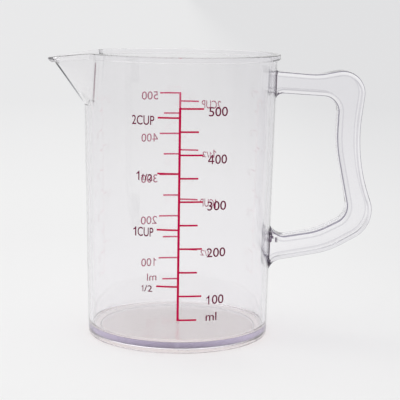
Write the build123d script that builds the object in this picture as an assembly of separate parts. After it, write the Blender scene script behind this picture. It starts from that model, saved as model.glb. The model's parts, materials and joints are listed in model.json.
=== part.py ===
from build123d import *
import math
import os

# A 500 ml measuring jug of clear plastic, in millimetres. It stands on the XY plane with
# its axis on Z. The spout points along -X and the handle along +X. One printed scale
# faces -Y and its twin faces +Y.

# Vessel
VESSEL_HEIGHT = 126.9  # foot to the top of the rim
BASE_RADIUS = 40.7  # outside of the wall at the foot
MOUTH_RADIUS = 43.1  # outside of the wall at the rim, without its band
WALL = 2.1
FLOOR = 3.0  # thickness of the floor
FOOT_RECESS = 1.5  # how far the middle of the floor stands off the table
FOOT_RING = 4.0  # width of the ring that touches the table
BASE_ROUND = 1.2  # outer edge of the foot
FLOOR_ROUND = 1.8  # inside corner, where the wall meets the floor
RECESS_ROUND = 0.8  # underside, where the foot ring meets the floor
GATE_RADIUS = 1.0  # stub of the moulding gate in the middle of the underside
GATE_STUB = 0.5

# Rim band, which also follows the edge of the spout
BAND_PROUD = 1.5  # how far the band stands out from the wall, at the level of the spout's tip
BAND_HEIGHT = 2.4
BAND_ROUND = 0.4

# Spout
LIP_ANGLE = 30.0  # from the middle of the spout to where its lip leaves the rim
KEEL_ANGLE = 25.0  # the same, at the lower end of the keel
SPOUT_REACH = 16.5  # from the wall to the keel, at the height of the rim
SPOUT_DEPTH = 23.4  # from the rim down to the lower end of the keel
KEEL_ROUND = 0.6  # inside radius of the keel
KEEL_SINK = 0.1  # the spout's lower end starts this far inside the wall's face
LIP_DIP = 2.8  # how much lower the lip is at its tip than at the rim
LIP_RUN = 20.0  # the length along X over which the lip dips
LIP_EASE = 25.0  # radius that eases the level rim into the dip
LIP_ROUND = 3.0  # plan radius where the band turns out along the spout
NOSE_SLOPE = 36.0  # degrees by which the underside of the band rises towards the spout's tip
NOSE_LAND = 0.6  # height of the upright face that is left at the tip

# Handle: one solid bar, bent to a loop in the XZ plane. Its outer and inner side are
# polylines with rounded corners. A corner's reach is measured from the wall at the rim,
# and its rise or drop from the upper or the lower root, the one that is nearer.
HANDLE_WIDTH = 13.0
HANDLE_ROUND = 2.2  # long edges of the bar
UPPER_ROOT_DROP = 11.9  # from the rim down to the middle of the upper root, inside the wall
UPPER_ROOT_DEPTH = 9.6
ROOT_SPAN = 76.9  # between the middles of the two roots
LOWER_ROOT_DEPTH = 10.4
ROOT_BURY = 5.0  # the bar is drawn this far into the wall, then cut back to its face
SADDLE_REACH = 18.3  # low point on the upper side of the upper arm
SADDLE_RISE = 3.1
SADDLE_BEND = 30.0
SHOULDER_REACH = 40.7  # outer corner at the head of the grip
SHOULDER_RISE = 7.6
SHOULDER_BEND = 10.0
WAIST_REACH = 35.8  # where the outside of the grip turns outwards again
WAIST_DROP = 33.4
WAIST_BEND = 80.0
HEEL_REACH = 47.0  # outer corner at the foot of the grip
HEEL_RISE = 13.0
HEEL_BEND = 14.0
ELBOW_REACH = 24.9  # where the underside of the lower arm levels out
ELBOW_RISE = 0.5
ELBOW_BEND = 40.0
KNUCKLE_REACH = 27.7  # inner corner at the head of the grip
KNUCKLE_DROP = 6.5
KNUCKLE_BEND = 7.0
PALM_REACH = 27.0  # where the inside of the grip turns outwards
PALM_DROP = 27.8
PALM_BEND = 60.0
CROOK_REACH = 33.7  # inner corner at the foot of the grip
CROOK_RISE = 16.8
CROOK_BEND = 8.0
CRADLE_REACH = 19.3  # where the upper side of the lower arm levels out
CRADLE_RISE = 9.5
CRADLE_BEND = 25.0
CROWN_FLARE = 1.5  # radii of the four corners where the bar runs into the wall
ARMPIT_FLARE = 3.5
LAP_FLARE = 6.5
HEEL_FLARE = 6.5

# Printed scale
INK = 0.1
STEM_WIDTH = 1.0
MARK_WIDTH = 0.75
LONG_MARK = 10.0
SHORT_MARK = 8.0
CUP_MARK = 9.3
MILLILITRE_STEP = 50  # every second mark is a long one
CUP_STEP = 120  # half a cup, in millilitres
FREEBOARD = 15.0  # no mark stands nearer to the top of the rim than this

OVERCUT = 4.0  # how far a form runs past the face that trims it
FORM_TOP = VESSEL_HEIGHT + OVERCUT
TIP_LEVEL = VESSEL_HEIGHT - LIP_DIP
FLOOR_LEVEL = FOOT_RECESS + FLOOR
UPRIGHT = (Align.CENTER, Align.CENTER, Align.MIN)


def wall_radius(z):
    """Outside radius of the tapered wall at height z."""
    return BASE_RADIUS + (MOUTH_RADIUS - BASE_RADIUS) * z / VESSEL_HEIGHT


def on_wall(radius, degrees, z):
    """A point at an angle from the middle of the spout, positive towards +Y."""
    angle = math.radians(degrees)
    return Vector(-radius * math.cos(angle), radius * math.sin(angle), z)


def spout_fraction(z):
    """0 at the lower end of the keel and 1 at the height of the rim."""
    return (z - VESSEL_HEIGHT + SPOUT_DEPTH) / SPOUT_DEPTH


def keel_distance(z):
    """How far the keel's outer face stands from the axis at height z."""
    lower = wall_radius(VESSEL_HEIGHT - SPOUT_DEPTH) - KEEL_SINK
    upper = wall_radius(VESSEL_HEIGHT) + SPOUT_REACH
    return lower + (upper - lower) * spout_fraction(z)


def lip_corner(z, grow):
    """Where the spout's +Y flank leaves the wall at height z."""
    angle = KEEL_ANGLE + (LIP_ANGLE - KEEL_ANGLE) * spout_fraction(z)
    return on_wall(wall_radius(z) + grow, angle, z)


def keel_tangent(z, grow):
    """Where the +Y flank runs into the round of the keel, in a slice at height z."""
    radius = KEEL_ROUND + WALL + grow
    centre = Vector(KEEL_ROUND + WALL - keel_distance(z), 0, z)
    span = lip_corner(z, grow) - centre
    turn = math.atan2(span.Y, span.X) + math.acos(radius / span.length)
    return centre + Vector(math.cos(turn), math.sin(turn), 0) * radius


def open_slice(z, grow):
    """A slice through the upper part of the spout: two straight flanks and a round keel."""
    corner = lip_corner(z, grow)
    tangent = keel_tangent(z, grow)
    keel = Vector(-keel_distance(z) - grow, 0, z)
    other_corner = Vector(corner.X, -corner.Y, z)
    other_tangent = Vector(tangent.X, -tangent.Y, z)
    return Wire([
        Line(corner, tangent),
        ThreePointArc(tangent, keel, other_tangent),
        Line(other_tangent, other_corner),
        Line(other_corner, corner),
    ])


def closed_slice(grow):
    """The slice at the lower end of the keel, where the spout lies along the wall."""
    z = VESSEL_HEIGHT - SPOUT_DEPTH
    radius = wall_radius(z) + grow - KEEL_SINK
    strip = math.degrees(math.asin(keel_tangent(VESSEL_HEIGHT, grow).Y / radius))
    flank = (strip + KEEL_ANGLE) / 2
    corner = on_wall(radius, KEEL_ANGLE, z)
    tangent = on_wall(radius, strip, z)
    other_corner = on_wall(radius, -KEEL_ANGLE, z)
    other_tangent = on_wall(radius, -strip, z)
    return Wire([
        ThreePointArc(corner, on_wall(radius, flank, z), tangent),
        ThreePointArc(tangent, on_wall(radius, 0, z), other_tangent),
        ThreePointArc(other_tangent, on_wall(radius, -flank, z), other_corner),
        Line(other_corner, corner),
    ])


def wall_cone(grow, bottom):
    """The round body as a solid, from the height bottom upwards, with its face moved out by grow."""
    lower = wall_radius(bottom) + grow
    upper = wall_radius(FORM_TOP) + grow
    return Pos(0, 0, bottom) * Cone(lower, upper, FORM_TOP - bottom, align=UPRIGHT)


def jug_form(grow, bottom, bottom_round):
    """The same with the spout, and with its lower edge rounded."""
    body = wall_cone(grow, bottom)
    body = fillet(body.edges().sort_by(Axis.Z)[0], bottom_round)
    spout = Solid.make_loft([closed_slice(grow), open_slice(FORM_TOP, grow)], ruled=True)
    return body + spout


def under_rim(drop):
    """All the space under the rim's edge, lowered by drop; the edge dips along the spout."""
    tip = wall_radius(VESSEL_HEIGHT) + SPOUT_REACH
    far = tip + 2 * OVERCUT
    level = VESSEL_HEIGHT - drop
    fold = (LIP_RUN - tip, level)
    far_dip = LIP_DIP * (LIP_RUN + far - tip) / LIP_RUN
    outline = Polyline(
        (far, level), fold, (-far, level - far_dip), (-far, -OVERCUT), (far, -OVERCUT), close=True
    )
    side = make_face(outline)
    side = fillet(side.vertices().sort_by_distance(fold)[0], LIP_EASE)
    return extrude(Plane.XZ * side, amount=far, both=True)


def loop_edges(faces):
    """The edges round a group of faces, without those that two of the faces share."""
    edges = [edge for face in faces for edge in face.edges()]
    return [edge for edge in edges if sum(edge.is_same(other) for other in edges) == 1]


def nose_cut():
    """The wedge under the tip of the band, which leaves its nose slanting back to the keel."""
    tip = -keel_distance(TIP_LEVEL) - BAND_PROUD
    level = TIP_LEVEL - NOSE_LAND
    run = keel_distance(TIP_LEVEL)
    fall = run * math.tan(math.radians(NOSE_SLOPE))
    slant = fall / run * OVERCUT
    corners = [(tip - OVERCUT, level + slant), (tip + run, level - fall), (tip - OVERCUT, level - fall)]
    return extrude(Plane.XZ * make_face(Polyline(corners, close=True)), amount=SPOUT_REACH, both=True)


def rim_band():
    """The upright band round the rim and spout, solid right across, with eased edges."""
    spout = Pos(0, 0, -TIP_LEVEL) * make_face(open_slice(TIP_LEVEL, BAND_PROUD))
    outline = Circle(wall_radius(TIP_LEVEL) + BAND_PROUD) + spout
    corner = lip_corner(TIP_LEVEL, BAND_PROUD)
    creases = [v for v in outline.vertices() if abs(v.X - corner.X) < BAND_PROUD]
    outline = fillet(creases, LIP_ROUND)
    band = extrude(outline, amount=FORM_TOP) & (under_rim(0) - under_rim(BAND_HEIGHT))
    flats = [face for face in band.faces() if abs(face.normal_at().Z) > 0.9]
    return fillet(loop_edges(flats), BAND_ROUND) - nose_cut()


def foot_recess():
    """The hollow under the floor, with the gate's stub left standing in it."""
    radius = wall_radius(0) - BASE_ROUND - FOOT_RING
    hollow = Cylinder(radius, FOOT_RECESS, align=UPRIGHT)
    hollow = fillet(hollow.edges().sort_by(Axis.Z)[-1], RECESS_ROUND)
    stub = Pos(0, 0, FOOT_RECESS - GATE_STUB) * Cylinder(GATE_RADIUS, GATE_STUB, align=UPRIGHT)
    return hollow - stub


def vessel():
    """The moulded jug body: wall, floor, foot ring, spout and the band round its rim."""
    outside = jug_form(0, 0, BASE_ROUND) & under_rim(BAND_HEIGHT / 2)
    inside = jug_form(-WALL, FLOOR_LEVEL, FLOOR_ROUND)
    return outside + rim_band() - inside - foot_recess()


def handle_bar():
    """The side view of the bar, as drawn: the roots run on into the wall."""
    upper = VESSEL_HEIGHT - UPPER_ROOT_DROP
    lower = upper - ROOT_SPAN
    upper_end = wall_radius(upper) - ROOT_BURY
    lower_end = wall_radius(lower) - ROOT_BURY
    outer = FilletPolyline(
        (upper_end, upper + UPPER_ROOT_DEPTH / 2),
        (MOUTH_RADIUS + SADDLE_REACH, upper + SADDLE_RISE),
        (MOUTH_RADIUS + SHOULDER_REACH, upper + SHOULDER_RISE),
        (MOUTH_RADIUS + WAIST_REACH, upper - WAIST_DROP),
        (MOUTH_RADIUS + HEEL_REACH, lower + HEEL_RISE),
        (MOUTH_RADIUS + ELBOW_REACH, lower + ELBOW_RISE),
        (lower_end, lower - LOWER_ROOT_DEPTH / 2),
        radius=[SADDLE_BEND, SHOULDER_BEND, WAIST_BEND, HEEL_BEND, ELBOW_BEND],
    )
    inner = FilletPolyline(
        (upper_end, upper - UPPER_ROOT_DEPTH / 2),
        (MOUTH_RADIUS + KNUCKLE_REACH, upper - KNUCKLE_DROP),
        (MOUTH_RADIUS + PALM_REACH, upper - PALM_DROP),
        (MOUTH_RADIUS + CROOK_REACH, lower + CROOK_RISE),
        (MOUTH_RADIUS + CRADLE_REACH, lower + CRADLE_RISE),
        (lower_end, lower + LOWER_ROOT_DEPTH / 2),
        radius=[KNUCKLE_BEND, PALM_BEND, CROOK_BEND, CRADLE_BEND],
    )
    ends = [Line(outer @ 1, inner @ 1), Line(inner @ 0, outer @ 0)]
    return make_face([*outer.edges(), *inner.edges(), *ends])


def strip_face(z):
    """How far the bar's long edges may run in at height z before they leave the wall."""
    return math.sqrt(wall_radius(z) ** 2 - (HANDLE_WIDTH / 2) ** 2)


def wall_strip():
    """Side view of the part of the wall that the handle's roots run into."""
    inside = strip_face(0) - 2 * ROOT_BURY
    face = [(strip_face(0), 0), (strip_face(VESSEL_HEIGHT), VESSEL_HEIGHT)]
    return make_face(Polyline((inside, 0), *face, (inside, VESSEL_HEIGHT), close=True))


def handle():
    """The bar with flared roots and rounded long edges, cut to sit on the tapered wall."""
    side = handle_bar() + wall_strip()
    on_face = [v for v in side.vertices() if abs(v.X - strip_face(v.Y)) < INK]
    roots = sorted(on_face, key=lambda vertex: vertex.Y)[1:-1]
    for vertex, radius in zip(roots, (HEEL_FLARE, LAP_FLARE, ARMPIT_FLARE, CROWN_FLARE)):
        corner = side.vertices().sort_by_distance(vertex)[0]
        side = fillet(corner, radius)
    bar = extrude(Plane.XZ * side, amount=HANDLE_WIDTH / 2, both=True)
    flanks = bar.faces().filter_by(Axis.Y)
    bar = fillet(flanks.edges(), HANDLE_ROUND)
    return bar - wall_cone(0, -OVERCUT)


def fill_height(millilitres):
    """The height that a volume of liquid reaches in the tapered inside."""
    foot = wall_radius(FLOOR_LEVEL) - WALL
    taper = (MOUTH_RADIUS - BASE_RADIUS) / VESSEL_HEIGHT
    surface = (foot**3 + 3 * taper * millilitres * 1000 / math.pi) ** (1 / 3)
    return FLOOR_LEVEL + (surface - foot) / taper


def marks(step):
    """The multiples of a step of volume, up to the last that leaves the freeboard free."""
    count = 0
    while fill_height((count + 1) * step) < VESSEL_HEIGHT - FREEBOARD:
        count += 1
    return [step * n for n in range(1, count + 1)]


def front_scale():
    """One printed scale: a stem with the millilitre marks on its right and cups on its left."""
    volumes = marks(MILLILITRE_STEP)
    cups = marks(CUP_STEP)
    low = fill_height(min(volumes + cups)) - MARK_WIDTH / 2
    high = fill_height(max(volumes + cups)) + MARK_WIDTH / 2
    print_area = Pos(0, (low + high) / 2) * Rectangle(STEM_WIDTH, high - low)
    for number, volume in enumerate(volumes):
        length = LONG_MARK if number % 2 else SHORT_MARK
        print_area += Pos(length / 2, fill_height(volume)) * Rectangle(length, MARK_WIDTH)
    for volume in cups:
        print_area += Pos(-CUP_MARK / 2, fill_height(volume)) * Rectangle(CUP_MARK, MARK_WIDTH)
    block = extrude(Plane.XZ * print_area, amount=MOUTH_RADIUS + OVERCUT)
    return block & (wall_cone(INK, 0) - wall_cone(0, 0))


def rear_scale():
    """The same print on the opposite side of the jug."""
    return Rot(0, 0, 180) * front_scale()


os.makedirs("parts", exist_ok=True)
for make in (vessel, handle, front_scale, rear_scale):
    export_step(make(), f"parts/{make.__name__}.step")
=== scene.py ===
# %% [markdown]
# # A clear measuring jug
#
# The jug comes from CAD as four solids: a moulded vessel, a looped handle, and two printed
# scales that are only a tenth of a millimetre thick. This lesson gives them their looks and
# adds the lettering beside the marks. Everything is in metres, in the frame of the CAD model:
# the jug stands on z = 0 with its axis on z, the spout points along -x, the handle along +x,
# and one scale faces -y, towards the camera.

# %% Load the frame
import json
import math

import bpy
from mathutils import Matrix

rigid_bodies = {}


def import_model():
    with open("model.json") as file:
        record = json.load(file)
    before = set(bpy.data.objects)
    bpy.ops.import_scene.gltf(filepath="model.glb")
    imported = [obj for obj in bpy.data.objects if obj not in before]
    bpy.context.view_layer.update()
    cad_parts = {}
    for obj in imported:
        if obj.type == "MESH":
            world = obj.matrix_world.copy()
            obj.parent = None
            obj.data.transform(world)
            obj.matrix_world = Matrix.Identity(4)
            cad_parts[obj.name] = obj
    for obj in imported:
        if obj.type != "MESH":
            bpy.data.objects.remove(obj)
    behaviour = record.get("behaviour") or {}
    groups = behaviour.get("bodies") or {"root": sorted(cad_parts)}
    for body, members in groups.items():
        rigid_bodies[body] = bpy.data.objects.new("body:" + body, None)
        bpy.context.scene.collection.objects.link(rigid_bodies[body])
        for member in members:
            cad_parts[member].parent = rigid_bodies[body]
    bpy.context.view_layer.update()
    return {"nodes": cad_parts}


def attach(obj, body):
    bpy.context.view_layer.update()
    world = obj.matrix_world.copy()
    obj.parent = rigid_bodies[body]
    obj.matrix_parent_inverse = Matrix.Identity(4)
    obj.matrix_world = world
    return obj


MM = 0.001

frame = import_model()
vessel = frame["nodes"]["vessel"]
handle = frame["nodes"]["handle"]
scales = [frame["nodes"]["front_scale"], frame["nodes"]["rear_scale"]]

# %% [markdown]
# ## Camera
#
# A jug like this is shown from a little above its rim, so that the rim is a thin ellipse and
# the floor of the jug can be seen through the wall. The lens is a long one, because a short
# lens would make the rim look tilted and the foot small. The camera's turn is built from
# three plain rotations: up from looking straight down, round the vertical, and a last small
# roll about the line of sight.

# %% Camera
CAMERA_PLACE = (0, -0.57895, 0.15497)
CAMERA_PITCH = math.radians(-9.256)
CAMERA_YAW = math.radians(0.94)
CAMERA_ROLL = math.radians(0.858)
FOCAL_LENGTH = 116.5  # millimetres, which is the unit a camera's data are in
SENSOR_WIDTH = 36.0

bpy.ops.object.camera_add(location=CAMERA_PLACE)
camera = bpy.context.object
pitch = Matrix.Rotation(math.pi / 2 + CAMERA_PITCH, 4, "X")
yaw = Matrix.Rotation(-CAMERA_YAW, 4, "Z")
roll = Matrix.Rotation(CAMERA_ROLL, 4, "Z")
camera.matrix_world = Matrix.Translation(CAMERA_PLACE) @ yaw @ pitch @ roll
camera.data.lens = FOCAL_LENGTH
camera.data.sensor_width = SENSOR_WIDTH
bpy.context.scene.camera = camera
print("camera stands", round(-CAMERA_PLACE[1], 3), "m from the axis")

# %% [markdown]
# ## Helpers for node trees
#
# A material is a small graph of nodes, and most of a graph here makes masks. A mask is a value
# from 0 to 1 that says where on a surface an effect is seen. One helper adds a node of any
# kind and fills its inputs. The others are the few sums that every mask is made of, so that
# the cells below read as what they do. A soft step whose first edge is the higher one runs the
# other way round: it is 1 at low values and 0 at high ones.

# %% Helpers for node trees


def put(tree, kind, feeds, **settings):
    """Add a node. Each input is given a number or colour, or an output to link to."""
    node = tree.nodes.new(kind)
    for name, value in settings.items():
        setattr(node, name, value)
    for name, value in feeds.items():
        if isinstance(value, bpy.types.NodeSocket):
            tree.links.new(value, node.inputs[name])
        else:
            node.inputs[name].default_value = value
    return node


def calculate(tree, operation, *values):
    """One Math node."""
    node = put(tree, "ShaderNodeMath", dict(enumerate(values)), operation=operation)
    return node.outputs["Value"]


def vector(tree, operation, *values):
    """One Vector Math node; returns its outputs, of which Value is a number."""
    node = put(tree, "ShaderNodeVectorMath", dict(enumerate(values)), operation=operation)
    return node.outputs


def smooth(tree, value, edge_of_zero, edge_of_one):
    """A soft step from 0 at one value to 1 at another."""
    feeds = {"Value": value, "From Min": edge_of_zero, "From Max": edge_of_one}
    return put(tree, "ShaderNodeMapRange", feeds, interpolation_type="SMOOTHSTEP").outputs["Result"]


def flip(tree, mask):
    """The opposite of a mask."""
    return calculate(tree, "SUBTRACT", 1.0, mask)


def product(tree, first, *others):
    """Where all of several masks are."""
    for mask in others:
        first = calculate(tree, "MULTIPLY", first, mask)
    return first


def band(tree, value, fades_in, full_from, full_to, gone_from):
    """1 between two values, fading to 0 on both sides."""
    rising = smooth(tree, value, fades_in, full_from)
    falling = smooth(tree, value, full_to, gone_from)
    return calculate(tree, "MULTIPLY", rising, flip(tree, falling))


mask_helpers = (calculate, vector, smooth, flip, product, band)
print("mask helpers:", [helper.__name__ for helper in mask_helpers])

# %% [markdown]
# ## Node groups
#
# An effect that more than one material shows, such as the marks at the handle's roots, is made
# once as a node group. A group is a small graph with named inputs and outputs. Each material
# places it and gives it its own values, so the effect stays the same kind of thing everywhere
# and is mended in one place.

# %% Helpers for node groups
FLOAT, COLOUR, VECTOR = "NodeSocketFloat", "NodeSocketColor", "NodeSocketVector"


def new_group(name, inputs, outputs):
    """An empty node group; inputs are (name, kind, value) and outputs are (name, kind)."""
    group = bpy.data.node_groups.new(name, "ShaderNodeTree")
    for label, kind, value in inputs:
        socket = group.interface.new_socket(name=label, in_out="INPUT", socket_type=kind)
        socket.default_value = value
    for label, kind in outputs:
        group.interface.new_socket(name=label, in_out="OUTPUT", socket_type=kind)
    return group, group.nodes.new("NodeGroupInput"), group.nodes.new("NodeGroupOutput")


def use_group(tree, group, feeds):
    """Place a node group in a material, with the material's own values."""
    return put(tree, "ShaderNodeGroup", feeds, node_tree=group).outputs


print("group sockets can be", FLOAT, COLOUR, VECTOR)

# %% [markdown]
# ## Shared effect: a line along a rounded edge
#
# Where clear plastic turns through a rounded edge it bends the view so far that the edge shows
# as a thin dark line. The lines come out cleaner when they are drawn than when they are left
# to the bending alone, and the direction of the surface says where a rounding is: one part of
# the surface normal runs from 0 to 1 across it. This group makes a line of any such value. Its
# mask is 1 between two values and fades to 0 on both sides.

# %% Group: edge line
edge_line, start, end = new_group(
    "Edge line",
    [("Value", FLOAT, 0.0), ("Fades in from", FLOAT, 0.3), ("Full from", FLOAT, 0.45),
     ("Full to", FLOAT, 0.7), ("Gone from", FLOAT, 0.85)],
    [("Mask", FLOAT)],
)
line_inputs = ("Value", "Fades in from", "Full from", "Full to", "Gone from")
line_mask = band(edge_line, *[start.outputs[name] for name in line_inputs])
edge_line.links.new(line_mask, end.inputs["Mask"])
print("group", edge_line.name, "has", len(edge_line.nodes), "nodes")

# %% [markdown]
# ## Shared effect: painted shade where the handle is bonded on
#
# The handle is bonded to the finished vessel. Short dark marks of painted shade lie in both
# parts, just above and below the ends of the bar, where bar and wall meet. The group is made
# in two steps. The first measures where a point is: how far off the wall's outer face, and how
# far along the wall from the nearer root. The distance off the wall is an output as well,
# because both materials need it.

# %% Group: painted root shade, distances
WALL_TAPER = 2.4 / 126.9
FOOT_FACE = 40.7 * MM
UPPER_ROOT, LOWER_ROOT, HALF_BAR = 115.0 * MM, 38.1 * MM, 4.9 * MM
BETWEEN_ROOTS = (75 * MM, 76 * MM)
ROUND_AXIS = (1, 1, 0)

root_shade_marks, start, end = new_group(
    "Bond marks",
    [("Reach along wall", FLOAT, 7 * MM), ("Reach off wall", FLOAT, 3 * MM),
     ("Threshold", FLOAT, 0.5)],
    [("Mask", FLOAT), ("Off wall", FLOAT)],
)
place = put(root_shade_marks, "ShaderNodeTexCoord", {}).outputs["Object"]
split = put(root_shade_marks, "ShaderNodeSeparateXYZ", {"Vector": place}).outputs
flat = vector(root_shade_marks, "MULTIPLY", place, ROUND_AXIS)["Vector"]
from_axis = vector(root_shade_marks, "LENGTH", flat)["Value"]
wall_face = calculate(root_shade_marks, "MULTIPLY_ADD", split["Z"], WALL_TAPER, FOOT_FACE)
off_wall = calculate(root_shade_marks, "SUBTRACT", from_axis, wall_face)
root_shade_marks.links.new(off_wall, end.inputs["Off wall"])

is_upper = smooth(root_shade_marks, split["Z"], *BETWEEN_ROOTS)
root = calculate(root_shade_marks, "MULTIPLY_ADD", is_upper, UPPER_ROOT - LOWER_ROOT, LOWER_ROOT)
from_root = calculate(root_shade_marks, "ABSOLUTE", calculate(root_shade_marks, "SUBTRACT", split["Z"], root))
past_bar = calculate(root_shade_marks, "SUBTRACT", from_root, HALF_BAR)
print("roots of the handle, mm:", round(LOWER_ROOT / MM, 1), round(UPPER_ROOT / MM, 1))

# %% [markdown]
# ### Drawing the painted shade
#
# The second step draws the marks of painted shade. They are noise drawn out upwards and cut
# off at a threshold, and the threshold is lowest in the corner between bar and wall, where
# the painted shade is densest.
# Five masks then hold the marks to the two roots: they start at the bar, stop at a given reach
# along the wall and off it, and stay on the handle's side and close to its middle plane.

# %% Group: painted root shade, marks
BAR_EDGE = (-0.5 * MM, 0.0)
FADE_OUT = 2.5 * MM
FULL_SHARE = 0.7
HANDLE_SIDE = (38 * MM, 40 * MM)
HALF_WIDTH = (6.5 * MM, 8.5 * MM)
GRAIN = (700, 700, 240)
CORNER = (0.4 * MM, 2.4 * MM)
CORNER_GAIN = 0.13
SOFTNESS = 0.06

along, off = start.outputs["Reach along wall"], start.outputs["Reach off wall"]
fades_from = calculate(root_shade_marks, "SUBTRACT", along, FADE_OUT)
full_to = calculate(root_shade_marks, "MULTIPLY", off, FULL_SHARE)
from_middle = calculate(root_shade_marks, "ABSOLUTE", split["Y"])
starts = smooth(root_shade_marks, past_bar, *BAR_EDGE)
stops = flip(root_shade_marks, smooth(root_shade_marks, past_bar, fades_from, along))
close = flip(root_shade_marks, smooth(root_shade_marks, off_wall, full_to, off))
on_handle_side = smooth(root_shade_marks, split["X"], *HANDLE_SIDE)
narrow = flip(root_shade_marks, smooth(root_shade_marks, from_middle, *HALF_WIDTH))

drawn_out = vector(root_shade_marks, "MULTIPLY", place, GRAIN)["Vector"]
noise = {"Vector": drawn_out, "Scale": 1.0, "Detail": 2.0}
grain = put(root_shade_marks, "ShaderNodeTexNoise", noise).outputs["Fac"]
from_corner = smooth(root_shade_marks, calculate(root_shade_marks, "ABSOLUTE", past_bar), *CORNER)
gain = calculate(root_shade_marks, "MULTIPLY_ADD", from_corner, CORNER_GAIN, -CORNER_GAIN)
threshold = calculate(root_shade_marks, "ADD", start.outputs["Threshold"], gain)
# Painted shade at the roots: noise cut off at a threshold.
root_shade_mask = smooth(root_shade_marks, grain, threshold, calculate(root_shade_marks, "ADD", threshold, SOFTNESS))
root_shade_mask = product(root_shade_marks, root_shade_mask, starts, stops, close, narrow, on_handle_side)
root_shade_marks.links.new(root_shade_mask, end.inputs["Mask"])
print("group", root_shade_marks.name, "has", len(root_shade_marks.nodes), "nodes")

# %% [markdown]
# ## Shared effect: painted streaks and a rippled skin
#
# The round wall of a clear jug shows faint upright streaks where it reflects the room, and
# injection moulding leaves a skin that is not perfectly flat. The streaks are painted
# reflection: noise that is squeezed across and stretched upwards. It is measured round the
# jug's axis, so the streaks run straight up the wall. The skin is a coarse noise in a Bump
# node, too shallow to be worth real waves in the mesh. The group gives out a shade from 0 to
# 1 and a normal.

# %% Group: painted streaks and ripple
UPWARD = (0, 0, 1)
STREAK_CONTRAST = (0.35, 0.65)
RIPPLE_SCALE = 60.0
RIPPLE_HEIGHT = 0.2 * MM

painted_streaks_and_ripple, start, end = new_group(
    "Flow lines",
    [("Streaks", FLOAT, 6.0), ("Along", FLOAT, 4.0), ("Ripple", FLOAT, 0.05)],
    [("Shade", FLOAT), ("Normal", VECTOR)],
)
place = put(painted_streaks_and_ripple, "ShaderNodeTexCoord", {}).outputs["Object"]
flat = vector(painted_streaks_and_ripple, "MULTIPLY", place, ROUND_AXIS)["Vector"]
outward = vector(painted_streaks_and_ripple, "NORMALIZE", flat)["Vector"]
stretch = {"Vector": outward, "Scale": start.outputs["Streaks"]}
across = put(painted_streaks_and_ripple, "ShaderNodeVectorMath", stretch, operation="SCALE").outputs["Vector"]
height = vector(painted_streaks_and_ripple, "MULTIPLY", place, UPWARD)["Vector"]
stretch = {"Vector": height, "Scale": start.outputs["Along"]}
along = put(painted_streaks_and_ripple, "ShaderNodeVectorMath", stretch, operation="SCALE").outputs["Vector"]
noise = {
    "Vector": vector(painted_streaks_and_ripple, "ADD", across, along)["Vector"],
    "Scale": 1.0, "Detail": 2.0, "Roughness": 0.5,
}
streaks = put(painted_streaks_and_ripple, "ShaderNodeTexNoise", noise).outputs["Fac"]
# The streaks are a painted reflection of the room.
painted_streaks_and_ripple.links.new(smooth(painted_streaks_and_ripple, streaks, *STREAK_CONTRAST), end.inputs["Shade"])

noise = {"Vector": place, "Scale": RIPPLE_SCALE, "Detail": 1.0}
skin = put(painted_streaks_and_ripple, "ShaderNodeTexNoise", noise).outputs["Fac"]
waves = {"Strength": start.outputs["Ripple"], "Distance": RIPPLE_HEIGHT, "Height": skin}
ripple = put(painted_streaks_and_ripple, "ShaderNodeBump", waves).outputs["Normal"]
painted_streaks_and_ripple.links.new(ripple, end.inputs["Normal"])
print("group", painted_streaks_and_ripple.name, "has", len(painted_streaks_and_ripple.nodes), "nodes")

# %% [markdown]
# ## Clear plastic
#
# The jug is clear styrene plastic with a trace of violet dye, which hides the yellow of the
# raw plastic. Two things make such a material. The Principled shader with full transmission
# bends what is seen through it, and an absorbing volume takes away a little green and red for
# every millimetre of plastic, so thin walls look colourless and the thick floor, seen edge on,
# looks violet. Lamps cannot shine through bent glass without a lot of noise, so for shadow
# and diffuse rays the surface is plainly transparent. What mixes the two shaders is built from
# plain nodes in each material, and the shared groups only feed colour and normal.

# %% Clear plastic
DYE_COLOUR = (0.54, 0.41, 0.72, 1)


def new_material(name):
    """An empty material; returns it and its node tree."""
    material = bpy.data.materials.new(name)
    material.use_nodes = True
    material.node_tree.nodes.clear()
    return material, material.node_tree


def clear_plastic(tree, dye, feeds, light_through, straight):
    """Close a clear plastic material.

    feeds go to the surface, light_through colours its shadow, and straight is the share of the
    view that passes through without being bent.
    """
    feeds = {"Transmission Weight": 1.0, "Roughness": 0.0, "IOR": 1.5, **feeds}
    solid = put(tree, "ShaderNodeBsdfPrincipled", feeds).outputs["BSDF"]
    passing = put(tree, "ShaderNodeBsdfTransparent", {"Color": light_through}).outputs["BSDF"]
    path = put(tree, "ShaderNodeLightPath", {}).outputs
    lamp_light = calculate(tree, "MAXIMUM", path["Is Shadow Ray"], path["Is Diffuse Ray"])
    unbent = calculate(tree, "MAXIMUM", lamp_light, straight)
    mixed = {"Fac": unbent, 1: solid, 2: passing}
    surface = put(tree, "ShaderNodeMixShader", mixed).outputs["Shader"]
    absorption = {"Color": DYE_COLOUR, "Density": dye}
    inside = put(tree, "ShaderNodeVolumeAbsorption", absorption).outputs["Volume"]
    put(tree, "ShaderNodeOutputMaterial", {"Surface": surface, "Volume": inside})
    print("clear plastic with", len(tree.nodes), "nodes")


# %% [markdown]
# ## The vessel's plastic
#
# The vessel's material is made in five steps, and each adds something that is seen on a real
# jug. The first is painted shade: the wall is painted a little grey, more so towards the rim,
# in streaks that are a painted reflection of the room. A tint that is close to white is
# enough, because the view crosses four surfaces on its way through the jug.

# %% Vessel: painted shade towards the rim
CLEAR = (0.985, 0.983, 0.985, 1)
UPPER_SHADE = (0.955, 0.955, 0.95, 1)
UPPER_SHADE_HEIGHT = (35 * MM, 105 * MM)
UPPER_SHADE_LEAST, UPPER_SHADE_STREAKS = 0.4, 0.4
VESSEL_STREAKS_AND_RIPPLE = {"Streaks": 5.0, "Along": 3.0, "Ripple": 0.03}


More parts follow.
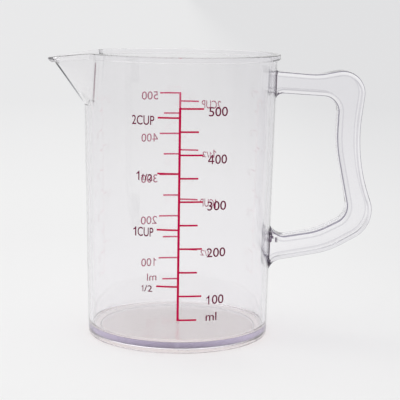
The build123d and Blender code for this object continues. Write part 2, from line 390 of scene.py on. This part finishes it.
def blend(tree, factor, first, second, blend_type="MIX"):
    """Mix two colours."""
    node = put(tree, "ShaderNodeMix", {}, data_type="RGBA", blend_type=blend_type)
    for name, value in (("Factor", factor), ("A", first), ("B", second)):
        socket = next(s for s in node.inputs if s.name == name and s.enabled)
        if isinstance(value, bpy.types.NodeSocket):
            tree.links.new(value, socket)
        else:
            socket.default_value = value
    return next(s for s in node.outputs if s.enabled)


vessel_plastic, tree = new_material("clear_plastic_vessel")
place = put(tree, "ShaderNodeTexCoord", {}).outputs["Object"]
split = put(tree, "ShaderNodeSeparateXYZ", {"Vector": place}).outputs
facing = put(tree, "ShaderNodeNewGeometry", {}).outputs["Normal"]
turned = put(tree, "ShaderNodeSeparateXYZ", {"Vector": facing}).outputs

streaks_and_ripple = use_group(tree, painted_streaks_and_ripple, VESSEL_STREAKS_AND_RIPPLE)
# Painted shade: greyer towards the rim, in streaks of painted reflection.
streaky = calculate(tree, "MULTIPLY_ADD", streaks_and_ripple["Shade"], UPPER_SHADE_STREAKS, UPPER_SHADE_LEAST)
upper_shade = calculate(tree, "MULTIPLY", smooth(tree, split["Z"], *UPPER_SHADE_HEIGHT), streaky)
tint = blend(tree, upper_shade, CLEAR, UPPER_SHADE)
print("haze runs from", [round(z / MM) for z in UPPER_SHADE_HEIGHT], "mm up")

# %% [markdown]
# ### Painted shade at the roots and in the fold beside the spout
#
# The painted root shade comes from its group and is kept to the outer skin of the wall. The
# fold is the upright crease where the spout leaves the round wall. Its line is painted shade
# with a painted reflection of the red print in it. It is drawn as a thin leaning line on the
# camera's side: a band round a line in x and z, cut off above and below. Drawing it is
# simpler than finding a lamp that would show it.

# %% Vessel: painted shade at the roots and in the fold
ROOT_SHADE_DARK = (0.02, 0.008, 0.025, 1)
VESSEL_ROOT_SHADE = {"Reach along wall": 5 * MM, "Reach off wall": 1 * MM, "Threshold": 0.62}
OUTER_SKIN = (-1.0 * MM, -0.4 * MM)
FOLD_SHADE_RED = (0.27, 0.17, 0.2, 1)
FOLD_LEAN, FOLD_FOOT = 0.06, -43.8 * MM
FOLD_WIDTH = (0.2 * MM, 0.5 * MM)
FOLD_SPAN = {
    "Fades in from": 103 * MM, "Full from": 110 * MM, "Full to": 122.5 * MM, "Gone from": 124 * MM,
}
CAMERA_SIDE = (-5 * MM, -10 * MM)

marks = use_group(tree, root_shade_marks, VESSEL_ROOT_SHADE)
outside = smooth(tree, marks["Off wall"], *OUTER_SKIN)
# Painted root shade, on the outer skin of the wall.
tint = blend(tree, calculate(tree, "MULTIPLY", marks["Mask"], outside), tint, ROOT_SHADE_DARK)

fold = calculate(tree, "MULTIPLY_ADD", split["Z"], FOLD_LEAN, FOLD_FOOT)
from_fold = calculate(tree, "ABSOLUTE", calculate(tree, "SUBTRACT", split["X"], fold))
on_fold = flip(tree, smooth(tree, from_fold, *FOLD_WIDTH))
fold_span = use_group(tree, edge_line, {"Value": split["Z"], **FOLD_SPAN})
in_front = smooth(tree, split["Y"], *CAMERA_SIDE)
# The fold line: painted shade with a painted reflection of the red print.
fold_shade_line = product(tree, on_fold, fold_span["Mask"], in_front, outside)
tint = blend(tree, fold_shade_line, tint, FOLD_SHADE_RED)
print("fold is", round(2 * FOLD_WIDTH[1] / MM, 1), "mm wide at most")

# %% [markdown]
# ### The rim
#
# The two roundings of the rim show as a grey line of painted shade in front, and at the back
# as a bright line, a painted highlight that glows by emission where they would catch the
# room's light. Along the spout the rim drops towards the tip, so the height is measured from
# the rim as it really runs. The line sits where the surface faces neither straight up nor
# straight out, which is what the edge line group finds.

# %% Vessel: rim
BLACK = (0, 0, 0, 1)
RIM_SHADE_GREY = (0.52, 0.5, 0.52, 1)
RIM_HIGHLIGHT = (0.2, 0.2, 0.2, 1)
RIM_LEVEL = 126.9 * MM
SPOUT_STARTS = -39.6 * MM
RIM_SLOPE = 0.14
RIM_TOP = (0.6 * MM, 0.45 * MM)
RIM_ROUND = {"Fades in from": 0.15, "Full from": 0.4, "Full to": 0.9, "Gone from": 0.98}
BACK_HALF = (-5 * MM, 15 * MM)

below_rim = calculate(tree, "SUBTRACT", RIM_LEVEL, split["Z"])
beyond_wall = calculate(tree, "SUBTRACT", SPOUT_STARTS, split["X"])
along_spout = calculate(tree, "MAXIMUM", beyond_wall, 0.0)
sloped = calculate(tree, "MULTIPLY", along_spout, RIM_SLOPE)
rim_drop = calculate(tree, "SUBTRACT", below_rim, sloped)
on_rim = smooth(tree, rim_drop, *RIM_TOP)
upright = calculate(tree, "ABSOLUTE", turned["Z"])
rim_round = use_group(tree, edge_line, {"Value": upright, **RIM_ROUND})
rim_shade_and_highlight = calculate(tree, "MULTIPLY", on_rim, rim_round["Mask"])
behind = smooth(tree, split["Y"], *BACK_HALF)
# Painted shade on the front roundings, a painted highlight glowing on the back ones.
tint = blend(tree, calculate(tree, "MULTIPLY", rim_shade_and_highlight, flip(tree, behind)), tint, RIM_SHADE_GREY)
rim_highlight_glow = blend(tree, calculate(tree, "MULTIPLY", rim_shade_and_highlight, behind), BLACK, RIM_HIGHLIGHT)
print("rim drops", round(100 * RIM_SLOPE), "% along the spout")

# %% [markdown]
# ### The keel of the spout
#
# The two flat flanks of the spout meet in a tight bend, the keel, and from the side the bend
# shows as a dark slanted line. That line is painted shade on a strip beside the keel. Only
# the outer skin, which faces downwards, is painted: paint on the inner skin would show from
# above as a dark wedge inside the spout.

# %% Vessel: keel
KEEL_SHADE = (0.03, 0.036, 0.052, 1)
KEEL_SLOPE, TIP_REACH = 0.7283, -59.6 * MM
KEEL_STRIP = (1.4 * MM, 1.15 * MM)
OFF_ROUND_WALL = (-42.6 * MM, -43.0 * MM)
UNDER_RIM_BAND = (3.0 * MM, 3.5 * MM)
FACES_DOWN = (0.1, -0.1)

keel_edge = calculate(tree, "MULTIPLY_ADD", below_rim, KEEL_SLOPE, TIP_REACH)
keel_depth = calculate(tree, "SUBTRACT", split["X"], keel_edge)
keel_shade_line = product(
    tree,
    smooth(tree, split["X"], *OFF_ROUND_WALL),
    smooth(tree, keel_depth, *KEEL_STRIP),
    smooth(tree, rim_drop, *UNDER_RIM_BAND),
    smooth(tree, turned["Z"], *FACES_DOWN),
)
# Painted shade along the keel.
tint = blend(tree, keel_shade_line, tint, KEEL_SHADE)
print("keel strip is", round(KEEL_STRIP[0] / MM, 1), "mm deep at most")

# %% [markdown]
# ### The floor and the nose of the spout
#
# The inside of the floor is slightly matt, as the mould leaves it, so it mirrors nothing
# sharply. The floor is thicker than the wall, so less light passes through it to the table,
# and that light is a little warmer. The blunt nose below the rim band, at the tip, would bend
# the view into a dark wedge. Half of the view passes straight through it instead, by a mask
# that is built from plain nodes.

# %% Vessel: floor and nose
LIGHT_THROUGH_WALL = (0.993, 0.99, 0.987, 1)
LIGHT_THROUGH_FLOOR = (0.985, 0.955, 0.93, 1)
INSIDE_FLOOR = (4.7 * MM, 4.6 * MM)
FACES_UP = (0.5, 0.9)
FLOOR_ROUGHNESS = 0.15
NOSE_BAND = (1.2 * MM, 1.5 * MM, 3.0 * MM, 3.6 * MM)
NOSE_STARTS = (-53 * MM, -54 * MM)
NOSE_STRAIGHT = 0.5
FLOOR_TO_WALL = (4.6 * MM, 5.4 * MM)
VESSEL_DYE = 12.0

low = smooth(tree, split["Z"], *INSIDE_FLOOR)
matt_floor = calculate(tree, "MULTIPLY", low, smooth(tree, turned["Z"], *FACES_UP))
roughness = calculate(tree, "MULTIPLY", matt_floor, FLOOR_ROUGHNESS)
under_band = band(tree, rim_drop, *NOSE_BAND)
nose = calculate(tree, "MULTIPLY", under_band, smooth(tree, split["X"], *NOSE_STARTS))
straight = calculate(tree, "MULTIPLY", nose, NOSE_STRAIGHT)
in_floor = flip(tree, smooth(tree, split["Z"], *FLOOR_TO_WALL))
light_through = blend(tree, in_floor, LIGHT_THROUGH_WALL, LIGHT_THROUGH_FLOOR)
vessel_surface = {
    "Base Color": tint, "Roughness": roughness, "Emission Color": rim_highlight_glow, "Emission Strength": 1.0,
    "Normal": streaks_and_ripple["Normal"],
}
clear_plastic(tree, VESSEL_DYE, vessel_surface, light_through, straight)

# %% [markdown]
# ## The handle's plastic
#
# The handle is a solid bar of the same plastic with rounded long edges. Each rounding shows a
# dark line at its outer side and a fainter one where it runs out into the flat, and because
# the bar is clear the lines of its far side show through as well. Both lines are painted
# shade, drawn as edge lines of how far the surface is turned sideways.

# %% Handle: lines
WHITE = (1, 1, 1, 1)
EDGE_SHADE_VIOLET = (0.34, 0.32, 0.39, 1)
OUTER_LINE = (0.03, 0.12, 0.45, 0.62)
INNER_LINE = (0.94, 0.98, 0.995, 0.9995)
INNER_SHARE = 0.4

handle_plastic, tree = new_material("clear_plastic_handle")
facing = put(tree, "ShaderNodeNewGeometry", {}).outputs["Normal"]
turned = put(tree, "ShaderNodeSeparateXYZ", {"Vector": facing}).outputs
sideways = calculate(tree, "ABSOLUTE", turned["Y"])
outer, inner = [
    use_group(tree, edge_line, dict(zip(line_inputs, (sideways, *line))))["Mask"]
    for line in (OUTER_LINE, INNER_LINE)
]
# Painted shade along the handle's rounded edges.
tint = blend(tree, calculate(tree, "MULTIPLY_ADD", inner, INNER_SHARE, outer), WHITE, EDGE_SHADE_VIOLET)
print("handle has an outer and an inner line")

# %% [markdown]
# ### The bond, its painted shade, and closing the handle's material
#
# Where the bar meets the wall, the bond shows as a thin dark seam, partly the bond line
# itself and partly painted shade, with marks of painted shade above and below it. The seam is
# painted round the bar, on the last fraction of a millimetre before the wall, and not on its
# end face. At its outline a shader for clear plastic mostly reflects, which a tint does not
# darken. So along the outer lines a share of the view passes straight through, and takes a
# violet there, which is painted shade as well.

# %% Handle: bond and outline
SEAM_BOND_AND_SHADE = (0.05, 0.03, 0.05, 1)
OUTLINE_SHADE_VIOLET = (0.2, 0.18, 0.26, 1)
LIGHT_THROUGH_HANDLE = (0.95, 0.94, 0.95, 1)
HANDLE_ROOT_SHADE = {"Reach along wall": 9 * MM, "Reach off wall": 4.0 * MM, "Threshold": 0.56}
HANDLE_STREAKS_AND_RIPPLE = {"Streaks": 4.0, "Along": 20.0, "Ripple": 0.03}
SEAM_WIDTH = (0.2 * MM, 0.4 * MM)
OFF_END_FACE = (-0.6, -0.4)
OUTLINE_STRAIGHT = 0.6
HANDLE_DYE = 5.0

marks = use_group(tree, root_shade_marks, HANDLE_ROOT_SHADE)
# Painted shade at the roots, then the seam: partly the bond line, partly painted shade.
tint = blend(tree, marks["Mask"], tint, ROOT_SHADE_DARK)
at_wall = flip(tree, smooth(tree, marks["Off wall"], *SEAM_WIDTH))
seam_bond_and_shade = calculate(tree, "MULTIPLY", at_wall, smooth(tree, turned["X"], *OFF_END_FACE))
tint = blend(tree, seam_bond_and_shade, tint, SEAM_BOND_AND_SHADE)
streaks_and_ripple = use_group(tree, painted_streaks_and_ripple, HANDLE_STREAKS_AND_RIPPLE)
# Painted shade along the outline: that share of the view passes straight through in violet.
outline = band(tree, sideways, *OUTER_LINE)
light_through = blend(tree, outline, LIGHT_THROUGH_HANDLE, OUTLINE_SHADE_VIOLET)
straight = calculate(tree, "MULTIPLY", outline, OUTLINE_STRAIGHT)
handle_surface = {"Base Color": tint, "Normal": streaks_and_ripple["Normal"]}
clear_plastic(tree, HANDLE_DYE, handle_surface, light_through, straight)

# %% [markdown]
# ## Printing ink
#
# The scale is screen-printed in crimson on the outside of the wall. The ink is nearly flat in
# colour, with a slight mottle and a satin skin. Its underside, which is seen through the jug
# from behind, is painted paler: painted light that stands in for the light shining through
# the thin ink from behind. The group tells the two sides apart by whether the surface faces
# away from the jug's axis.

# %% Group: print
UNDERSIDE = (-0.6, -0.3)
MOTTLE_SCALE = 900.0
MOTTLE_CONTRAST = (0.3, 0.8)
ROUGHNESS_SPREAD, ROUGHNESS_LEAST = 0.2, 0.35

print_coat, start, end = new_group(
    "Print coat",
    [("Ink", COLOUR, (0.5, 0.0, 0.05, 1)), ("Underside", COLOUR, (0.6, 0.1, 0.2, 1)),
     ("Mottle", FLOAT, 0.1)],
    [("Colour", COLOUR), ("Roughness", FLOAT), ("Height", FLOAT)],
)
place = put(print_coat, "ShaderNodeTexCoord", {}).outputs["Object"]
facing = put(print_coat, "ShaderNodeNewGeometry", {}).outputs["Normal"]
flat = vector(print_coat, "MULTIPLY", place, ROUND_AXIS)["Vector"]
outward = vector(print_coat, "NORMALIZE", flat)["Vector"]
towards = vector(print_coat, "DOT_PRODUCT", outward, facing)["Value"]
under = flip(print_coat, smooth(print_coat, towards, *UNDERSIDE))
# The underside's paler colour is painted light.
side = blend(print_coat, under, start.outputs["Ink"], start.outputs["Underside"])

noise = {"Vector": place, "Scale": MOTTLE_SCALE, "Detail": 2.0}
grain = put(print_coat, "ShaderNodeTexNoise", noise).outputs["Fac"]
spots = smooth(print_coat, grain, *MOTTLE_CONTRAST)
mottle = calculate(print_coat, "MULTIPLY", spots, start.outputs["Mottle"])
satin = calculate(print_coat, "MULTIPLY_ADD", grain, ROUGHNESS_SPREAD, ROUGHNESS_LEAST)
print_coat.links.new(blend(print_coat, mottle, side, BLACK), end.inputs["Colour"])
print_coat.links.new(satin, end.inputs["Roughness"])
print_coat.links.new(grain, end.inputs["Height"])
print("group", print_coat.name, "has", len(print_coat.nodes), "nodes")

# %% [markdown]
# ### Two inks
#
# The marks are bright crimson and the lettering is a shade darker, so both inks share the
# group and differ only in colour. A Bump node turns the group's height into a faint texture.
# The inks' gloss is low, because a strong one would wash the thin lines out.

# %% Inks
CRIMSON, CRIMSON_LIT_UNDERSIDE = (0.7, 0.0, 0.082, 1), (0.88, 0.015, 0.16, 1)
MAROON, MAROON_LIT_UNDERSIDE = (0.2, 0.002, 0.05, 1), (0.6, 0.14, 0.24, 1)
INK_MOTTLE = 0.12
INK_GLOSS = 0.08
INK_BUMP = 0.02 * MM


def ink(name, colour, lit_underside):
    """A satin printing ink."""
    material, tree = new_material(name)
    coat = use_group(
        tree, print_coat, {"Ink": colour, "Underside": lit_underside, "Mottle": INK_MOTTLE}
    )
    texture = {"Strength": 0.2, "Distance": INK_BUMP, "Height": coat["Height"]}
    surface = {
        "Base Color": coat["Colour"], "Roughness": coat["Roughness"],
        "Specular IOR Level": INK_GLOSS,
        "Normal": put(tree, "ShaderNodeBump", texture).outputs["Normal"],
    }
    solid = put(tree, "ShaderNodeBsdfPrincipled", surface).outputs["BSDF"]
    put(tree, "ShaderNodeOutputMaterial", {"Surface": solid})
    return material


crimson = ink("crimson_print", CRIMSON, CRIMSON_LIT_UNDERSIDE)
maroon = ink("maroon_print", MAROON, MAROON_LIT_UNDERSIDE)
print("inks:", crimson.name, maroon.name)

# %% [markdown]
# ## Materials on the CAD pieces
#
# The CAD pieces keep their own meshes and only get a material each. Every piece has a single
# one, so the list of slots is emptied and the material is put in first place.

# %% Materials on the CAD pieces
for piece, material in (
    (vessel, vessel_plastic), (handle, handle_plastic), (scales[0], crimson), (scales[1], crimson),
):
    piece.data.materials.clear()
    piece.data.materials.append(material)
print("materials on", len(frame["nodes"]), "CAD nodes")

# %% [markdown]
# ## Levels of the marks
#
# Each number belongs beside its mark, so the heights are read from the printed scale itself.
# The long millilitre marks reach furthest to the right and the cup marks furthest to the
# left, and a test on x picks out the ends of one kind. The end of a mark gives a height for
# each of its edges, and heights that lie close together are gathered into one level.

# %% Levels of the marks
MARK_SPREAD = 2 * MM
LONG_MARKS_PASS, ALL_MARKS_PASS, CUP_MARKS_PASS = 9.5 * MM, 7.5 * MM, -9 * MM


def mark_levels(keep):
    """Heights of the marks whose ends pass a test on x, lowest first."""
    levels = []
    for z in sorted(v.co.z for v in scales[0].data.vertices if keep(v.co.x)):
        if levels and z - levels[-1][0] < MARK_SPREAD:
            levels[-1].append(z)
        else:
            levels.append([z])
    return [(heights[0] + heights[-1]) / 2 for heights in levels]


long_marks = mark_levels(lambda x: x > LONG_MARKS_PASS)
cup_marks = mark_levels(lambda x: x < CUP_MARKS_PASS)
lowest_mark = mark_levels(lambda x: x > ALL_MARKS_PASS)[0]
print("long marks, mm:", [round(z / MM, 1) for z in long_marks])
print("cup marks, mm:", [round(z / MM, 1) for z in cup_marks], "lowest", round(lowest_mark / MM, 1))

# %% [markdown]
# ## Lettering
#
# Beside every second millilitre mark stands its number, and beside every cup mark its share
# of a cup. Printed letters could be modelled one by one, but a text object already has good
# outlines. It has no exact size, though, so each text is turned into a mesh, measured, scaled
# to fill the box that the print takes up, and stood in front of the wall.

# %% Lettering: text
IN_FRONT = -60 * MM
UPRIGHT = (math.pi / 2, 0, 0)
BOLDER = 0.006


def select_only(*pieces):
    """Select some pieces and nothing else; the first becomes the active one."""
    bpy.ops.object.select_all(action="DESELECT")
    for piece in pieces:
        piece.select_set(True)
    bpy.context.view_layer.objects.active = pieces[0]


def stand_in_box(piece, left, right, low, high):
    """Turn a flat drawing into a mesh that stands in front of the wall and fills a box."""
    select_only(piece)
    bpy.ops.object.convert(target="MESH")
    piece = bpy.context.object
    xs = [v.co.x for v in piece.data.vertices]
    ys = [v.co.y for v in piece.data.vertices]
    wide = (right - left) / (max(xs) - min(xs))
    tall = (high - low) / (max(ys) - min(ys))
    piece.scale = (wide, tall, 1)
    piece.rotation_euler = UPRIGHT
    piece.location = (left - min(xs) * wide, IN_FRONT, low - min(ys) * tall)
    bpy.ops.object.transform_apply(location=True, rotation=True, scale=True)
    return piece


def letters(text, left, right, low, high):
    """Text a little bolder than the font's own, filling a box in front of the wall."""
    bpy.ops.object.text_add()
    bpy.context.object.data.body = text
    bpy.context.object.data.offset = BOLDER
    return stand_in_box(bpy.context.object, left, right, low, high)


print("lettering stands", round(-IN_FRONT / MM), "mm in front of the axis before it is pressed on")

# %% [markdown]
# ### Two figures drawn as curves
#
# Two figures are drawn as closed curves instead: the font's 1 has no flag, and the font's 4
# fills up when its strokes are made bolder. Their corners are written in a box from 0 to 1,
# as a sign painter would rule them. A label may need drawn and typed parts side by side,
# which are joined into one piece.

# %% Lettering: drawn figures
FIGURE_ONE = [
    [(0.62, 0), (1, 0), (1, 1), (0.72, 1), (0.5, 0.85), (0, 0.74), (0, 0.62), (0.62, 0.72)],
]
FIGURE_FOUR = [
    [(0.59, 0), (0.78, 0), (0.78, 0.23), (1, 0.23), (1, 0.36), (0.78, 0.36), (0.78, 1), (0.58, 1),
     (0, 0.37), (0, 0.23), (0.59, 0.23)],
    [(0.59, 0.36), (0.21, 0.36), (0.59, 0.77)],
]


def figure(outlines, left, right, low, high):
    """A figure drawn with closed curves; a second curve inside the first is a hole."""
    drawing = bpy.data.curves.new("figure", "CURVE")
    drawing.dimensions = "2D"
    drawing.fill_mode = "BOTH"
    for corners in outlines:
        outline = drawing.splines.new("POLY")
        outline.points.add(len(corners) - 1)
        for point, (x, y) in zip(outline.points, corners):
            point.co = (x, y, 0, 1)
        outline.use_cyclic_u = True
    piece = bpy.data.objects.new("figure", drawing)
    bpy.context.scene.collection.objects.link(piece)
    return stand_in_box(piece, left, right, low, high)


def joined(*pieces):
    """Several pieces of lettering as one."""
    select_only(*pieces)
    bpy.ops.object.join()
    return bpy.context.object


print("drawn figures have", len(FIGURE_ONE[0]), "and", len(FIGURE_FOUR[0]), "outer corners")

# %% [markdown]
# ### Pressing the ink onto the wall
#
# A screen print meets a round jug head on, and a Shrinkwrap modifier that projects along y
# does the same: it moves every point straight back until it meets the wall. A Solidify
# modifier then gives the ink its thickness. Last, the label is lifted off the wall by a hair,
# so that the ink and the plastic do not lie in the same place.

# %% Lettering: on the wall
INK_THICKNESS = 0.07 * MM
INK_LIFT = 0.025 * MM
SAME_PLACE = 0.001 * MM


def press_on_wall(piece):
    """Project lettering onto the wall and give it the thickness of ink."""
    select_only(piece)
    bpy.ops.object.mode_set(mode="EDIT")
    bpy.ops.mesh.select_all(action="SELECT")
    bpy.ops.mesh.remove_doubles(threshold=SAME_PLACE)
    bpy.ops.object.mode_set(mode="OBJECT")
    bpy.ops.object.modifier_add(type="SHRINKWRAP")
    wrap = piece.modifiers[-1]
    wrap.target = vessel
    wrap.wrap_method = "PROJECT"
    wrap.use_project_y = True
    wrap.use_positive_direction = True
    wrap.use_negative_direction = False
    bpy.ops.object.modifier_apply(modifier=wrap.name)
    bpy.ops.object.modifier_add(type="SOLIDIFY")
    coat = piece.modifiers[-1]
    coat.thickness = INK_THICKNESS
    coat.offset = 1.0
    bpy.ops.object.modifier_apply(modifier=coat.name)
    piece.location.y = -INK_LIFT
    bpy.ops.object.transform_apply(location=True, rotation=False, scale=False)


print("ink is", round(INK_THICKNESS / MM, 2), "mm thick")

# %% [markdown]
# ### Both sides
#
# The same print is on the far side of the jug. Each label is copied with a mesh of its own
# and turned half way round the axis. A label can be given a small shift along the wall,
# because the two prints are not set quite alike. All labels are part of the one rigid body.

# %% Lettering: both sides
WALL_RADIUS = 42 * MM


def finish_label(piece, name, twin_shift=0.0):
    """Put a label on the wall under a name, and its twin, shifted a little, on the far side."""
    press_on_wall(piece)
    piece.name = "front_" + name
    piece.data.materials.clear()
    piece.data.materials.append(maroon)
    select_only(piece)
    bpy.ops.object.duplicate(linked=False)
    twin = bpy.context.object
    twin.name = "rear_" + name
    twin.rotation_euler = (0, 0, math.pi - twin_shift / WALL_RADIUS)
    bpy.ops.object.transform_apply(location=False, rotation=True, scale=False)
    for label in (piece, twin):
        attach(label, "root")


print("labels are turned half way round the axis")

# %% [markdown]
# ### Millilitres
#
# The numbers stand to the right of the long marks. Each is a little under four millimetres
# tall, and its middle is a little lower than its mark; the top number sits closer to its own.
# Where a number begins with a drawn figure, the places of the figure and of the two noughts
# after it are given. The unit stands beside the lowest mark.

# %% Numbers
NUMBER_LEFT = 12.0 * MM
NUMBER_RIGHT = 20.0 * MM
NUMBER_HEIGHT = 3.95 * MM
NUMBER_DROP = 1.85 * MM
TOP_NUMBER_DROP = 1.2 * MM
REAR_NUMBER_SHIFT = 1.1 * MM
ONE_SPAN = (NUMBER_LEFT + 0.2 * MM, NUMBER_LEFT + 1.5 * MM)
AFTER_ONE = (NUMBER_LEFT + 2.6 * MM, NUMBER_RIGHT - 0.4 * MM)
FOUR_SPAN = (NUMBER_LEFT, NUMBER_LEFT + 2.65 * MM)
AFTER_FOUR = (NUMBER_LEFT + 3.0 * MM, NUMBER_RIGHT)
DRAWN = {1: (FIGURE_ONE, ONE_SPAN, AFTER_ONE), 4: (FIGURE_FOUR, FOUR_SPAN, AFTER_FOUR)}
UNIT_WIDTH = 4.7 * MM
UNIT_BELOW, UNIT_ABOVE = 0.6 * MM, 3.0 * MM

for count, level in enumerate(long_marks, start=1):
    drop = TOP_NUMBER_DROP if level == long_marks[-1] else NUMBER_DROP
    low = level - drop - NUMBER_HEIGHT / 2
    high = low + NUMBER_HEIGHT
    if count in DRAWN:
        outlines, first_span, rest_span = DRAWN[count]
        first = figure(outlines, *first_span, low, high)
        number = joined(first, letters("00", *rest_span, low, high))
    else:
        number = letters(f"{count}00", NUMBER_LEFT, NUMBER_RIGHT, low, high)
    finish_label(number, f"number_{100 * count}", REAR_NUMBER_SHIFT)

unit_right = NUMBER_LEFT + UNIT_WIDTH
unit = letters("ml", NUMBER_LEFT, unit_right, lowest_mark - UNIT_BELOW, lowest_mark + UNIT_ABOVE)
finish_label(unit, "unit_ml", REAR_NUMBER_SHIFT)
print("numbers up to", 100 * len(long_marks), "and the unit", unit.name)

# %% [markdown]
# ### Whole cups
#
# The cup labels stand to the left of their marks and end just short of them. They are lined
# up on the right, so the label with the wider figure starts further to the left.

# %% Cup labels: whole cups
LABEL_RIGHT = -10.7 * MM
CUP_HEIGHT = 3.95 * MM
CUP_DROP = 1.25 * MM
TWO_CUPS_SPAN = (LABEL_RIGHT - 9.4 * MM, LABEL_RIGHT)
ONE_CUP_FIGURE = (LABEL_RIGHT - 8.6 * MM, LABEL_RIGHT - 7.3 * MM)
ONE_CUP_WORD = (LABEL_RIGHT - 6.7 * MM, LABEL_RIGHT)

half, one_cup, one_and_half, two_cups = cup_marks
low = two_cups - CUP_DROP - CUP_HEIGHT / 2
finish_label(letters("2CUP", *TWO_CUPS_SPAN, low, low + CUP_HEIGHT), "cups_2")

low = one_cup - CUP_DROP - CUP_HEIGHT / 2
one = figure(FIGURE_ONE, *ONE_CUP_FIGURE, low, low + CUP_HEIGHT)
finish_label(joined(one, letters("CUP", *ONE_CUP_WORD, low, low + CUP_HEIGHT)), "cups_1")
print("whole cups at", round(one_cup / MM, 1), "and", round(two_cups / MM, 1), "mm")

# %% [markdown]
# ### Half cups
#
# A half is written as a small fraction on one line, so one and a half is a tall figure with a
# small fraction after it. The fraction is the same in both labels, so a helper makes it.

# %% Cup labels: halves
HALF_HEIGHT = 2.8 * MM
HALF_LEFT = -15.6 * MM
TALL_ONE_SPAN = (-18.1 * MM, -16.8 * MM)
AFTER_TALL_ONE = -15.9 * MM
SMALL_ONE_WIDTH = 0.8 * MM
SLASH_FROM, FRACTION_WIDTH = 1.2 * MM, 4.6 * MM


def small_half(left, low):
    """A small 1/2."""
    high = low + HALF_HEIGHT
    one = figure(FIGURE_ONE, left, left + SMALL_ONE_WIDTH, low, high)
    return joined(one, letters("/2", left + SLASH_FROM, left + FRACTION_WIDTH, low, high))


low = one_and_half - CUP_DROP - CUP_HEIGHT / 2
one = figure(FIGURE_ONE, *TALL_ONE_SPAN, low, low + CUP_HEIGHT)
finish_label(joined(one, small_half(AFTER_TALL_ONE, low)), "cups_one_and_half")
finish_label(small_half(HALF_LEFT, half - CUP_DROP - HALF_HEIGHT / 2), "cups_half")
kinds = ("front_number", "front_cups", "front_unit")
labels = [piece.name for piece in bpy.data.objects if piece.name.startswith(kinds)]
print(len(labels), "labels on each side:", labels)

# %% [markdown]
# ## Table
#
# The jug stands on a plain pale table that runs to the horizon, so the wall behind it and the
# table are one soft surface. Its colour fades a little with distance and towards the right,
# where the room's light falls off. A colour ramp follows the distance, and a darker tint is
# multiplied in on the right.

# %% Table
TABLE_RADIUS = 30
RAMP_REACH = 2.0
NEAR_AND_FAR = [
    (0.04, (0.885, 0.885, 0.885)), (0.12, (0.86, 0.86, 0.86)), (0.2, (0.86, 0.86, 0.86)),
    (0.6, (0.8, 0.8, 0.805)),
]
DIM_TO_THE_RIGHT = (0.02, 0.22)
DIM_TINT = (0.925, 0.925, 0.93, 1)


def ramp(tree, value, stops):
    """A colour ramp along a value; each stop is a place and a colour."""
    node = put(tree, "ShaderNodeValToRGB", {"Fac": value})
    while len(node.color_ramp.elements) < len(stops):
        node.color_ramp.elements.new(0.5)
    for element, (place, colour) in zip(node.color_ramp.elements, stops):
        element.position = place
        element.color = (*colour, 1)
    return node.outputs["Color"]


bpy.ops.object.select_all(action="DESELECT")
bpy.ops.mesh.primitive_circle_add(
    vertices=96, radius=TABLE_RADIUS, fill_type="NGON", location=(0, 0, 0)
)
table = bpy.context.object
table.name = "table"

material, tree = new_material("pale_table")
place = put(tree, "ShaderNodeTexCoord", {}).outputs["Object"]
away = vector(tree, "LENGTH", place)["Value"]
by_distance = ramp(tree, calculate(tree, "DIVIDE", away, RAMP_REACH), NEAR_AND_FAR)
to_the_right = put(tree, "ShaderNodeSeparateXYZ", {"Vector": place}).outputs["X"]
dim = smooth(tree, to_the_right, *DIM_TO_THE_RIGHT)
table_colour = blend(tree, dim, by_distance, DIM_TINT, "MULTIPLY")
surface = put(tree, "ShaderNodeBsdfDiffuse", {"Color": table_colour}).outputs["BSDF"]
put(tree, "ShaderNodeOutputMaterial", {"Surface": surface})
table.data.materials.append(material)
print("table reaches", TABLE_RADIUS, "m")

# %% [markdown]
# ## Room light
#
# The world is a plain studio: a bright ceiling, pale walls behind the jug and a dimmer room
# in front of it, behind the camera. The dim part matters, because clear plastic shows up only
# by what it bends into view, and its edges need something darker to show. Two ramps give the
# brightness from the floor up, one for each half of the room, and a soft step joins them.

# %% Room light
FRONT = [(0.0, 0.45), (0.12, 0.3), (0.45, 0.3), (0.6, 0.9), (1.0, 1.1)]
BACK = [(0.0, 0.8), (0.2, 0.85), (0.5, 0.85), (1.0, 1.0)]
FRONT_TO_BACK = (-0.8, 0.3)

world = bpy.data.worlds.new("studio")
bpy.context.scene.world = world
world.use_nodes = True
tree = world.node_tree
tree.nodes.clear()
direction = put(tree, "ShaderNodeTexCoord", {}).outputs["Generated"]
split = put(tree, "ShaderNodeSeparateXYZ", {"Vector": direction}).outputs
front_light, back_light = [
    ramp(tree, split["Z"], [(height, (grey,) * 3) for height, grey in half_room])
    for half_room in (FRONT, BACK)
]
room = blend(tree, smooth(tree, split["Y"], *FRONT_TO_BACK), front_light, back_light)
glow = put(tree, "ShaderNodeBackground", {"Color": room, "Strength": 1.0}).outputs["Background"]
put(tree, "ShaderNodeOutputWorld", {"Surface": glow})
print("room light runs from", FRONT[1][1], "to", FRONT[-1][1])

# %% [markdown]
# ## Key light
#
# One lamp gives the soft light a direction, so the jug has a faint shadow beside its foot. A
# sun is chosen because its light is the same over the whole table, and its wide disc makes
# the shadow's edge as soft as a big window would.

# %% Key light
KEY_DISC = math.radians(40)
KEY_STRENGTH = 0.6
KEY_TURN = (math.radians(-25), math.radians(-25), 0)

bpy.ops.object.light_add(type="SUN", location=(-0.5, 0.4, 1.0))
key = bpy.context.object
key.data.angle = KEY_DISC
key.data.energy = KEY_STRENGTH
key.rotation_euler = KEY_TURN
print("key light has strength", KEY_STRENGTH)

# %% [markdown]
# ## Finish
#
# The view transform is set to Standard, so that a colour comes out as it was written.

# %% Finish
bpy.context.scene.view_settings.view_transform = "Standard"
